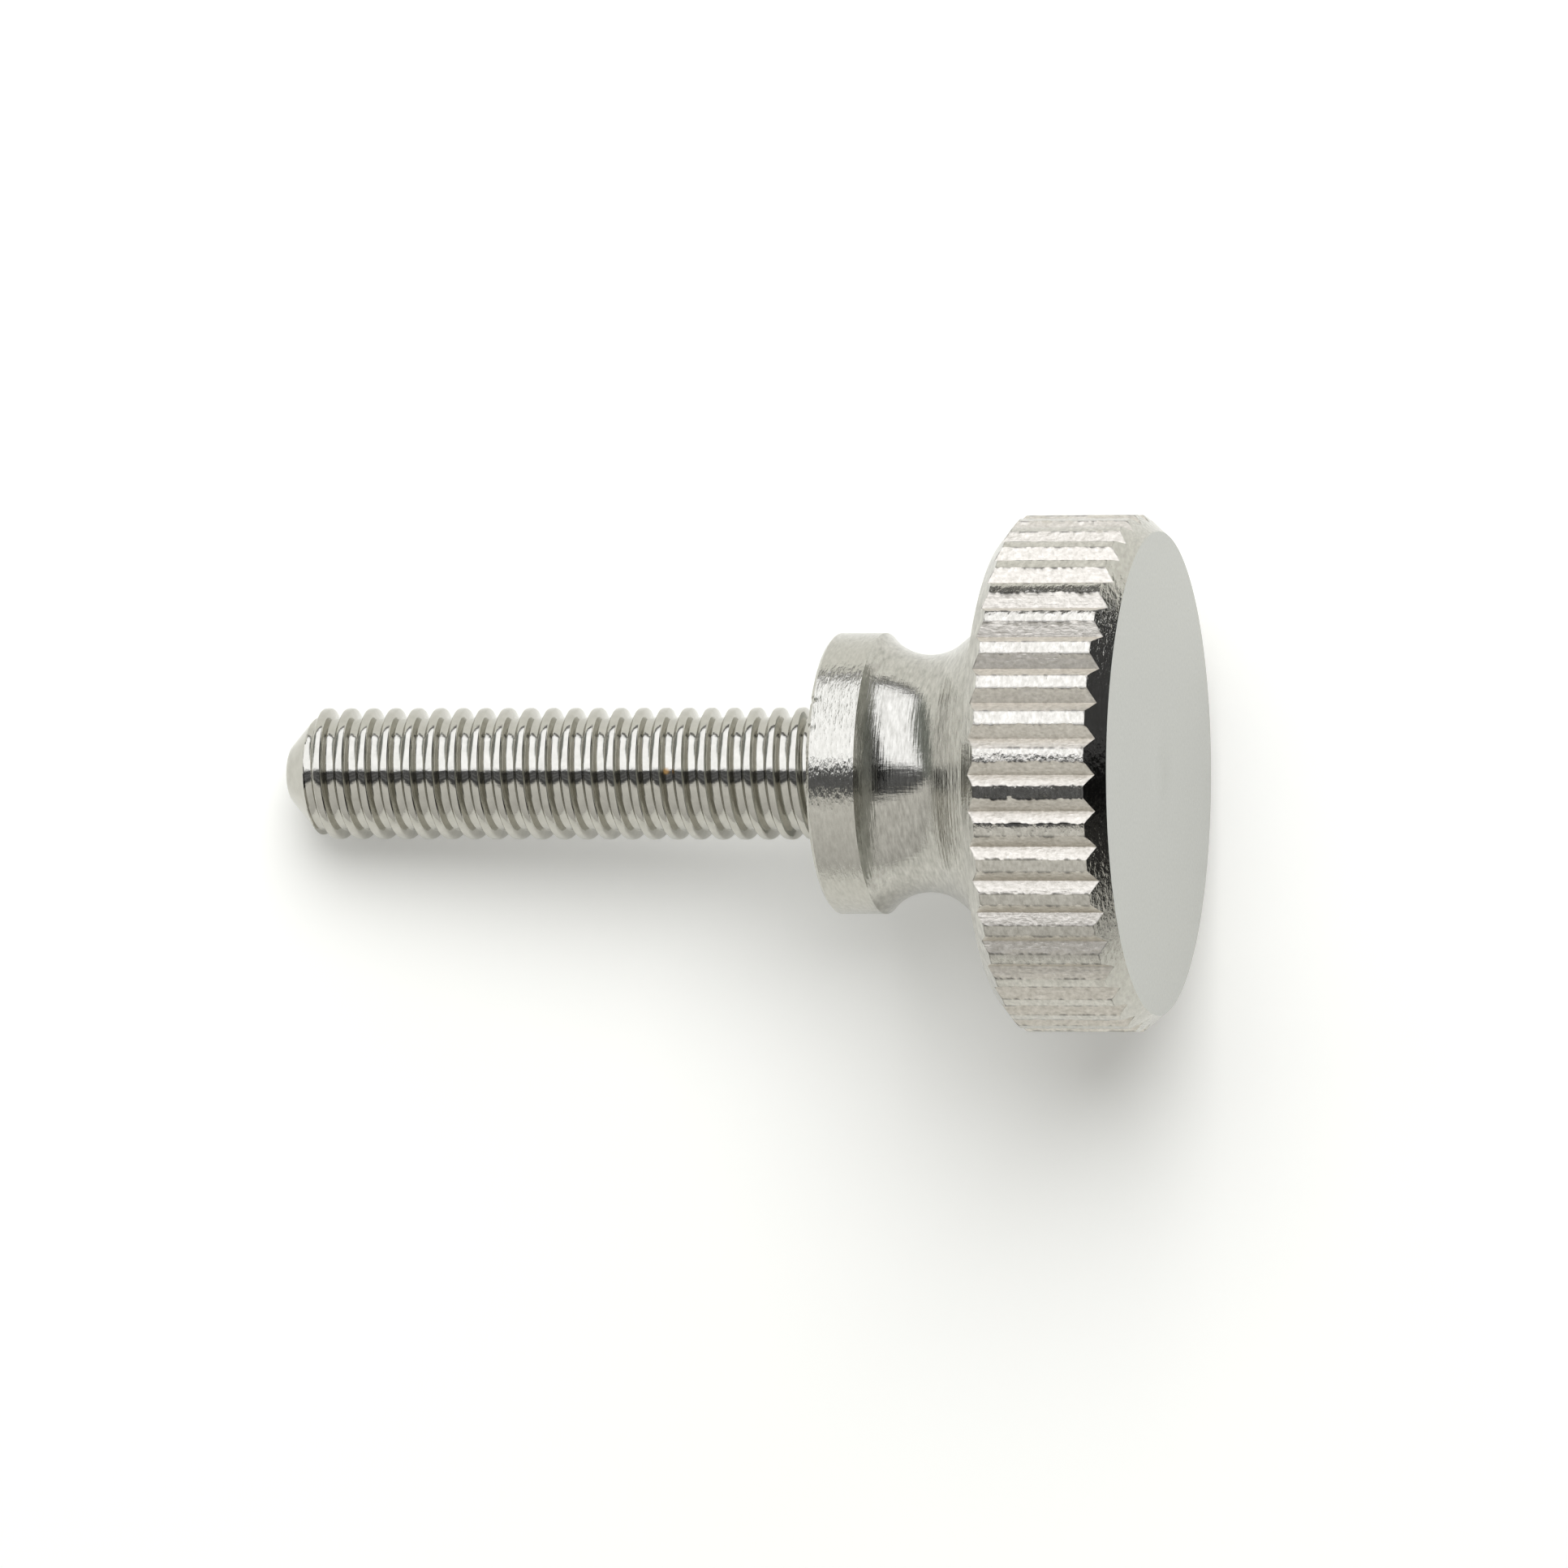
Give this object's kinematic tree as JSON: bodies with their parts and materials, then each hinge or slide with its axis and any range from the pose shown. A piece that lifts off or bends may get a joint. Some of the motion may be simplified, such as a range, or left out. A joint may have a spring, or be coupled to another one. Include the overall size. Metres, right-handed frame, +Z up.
{
  "type": "thumb screw",
  "caption": "Turned metal thumb screw with a tall straight-knurled round head, a coved neck, a plain collar and a metric threaded shank, tightened by hand.",
  "frame": {"origin": "centre of the end face of the head, which the screw stands on", "axes": "+Z up along the screw's axis, from the head to the tip; the knurl repeats round it, with a groove centred on +X and on -Y"},
  "size_m": [0.0152, 0.0152, 0.0267],
  "materials": {
    "turned_steel": "bright turned stainless steel, with fine lathe marks, cut knurl and satin end face"
  },
  "bodies": {
    "root": {"thumb_screw": "turned_steel"}
  },
  "joints": []
}
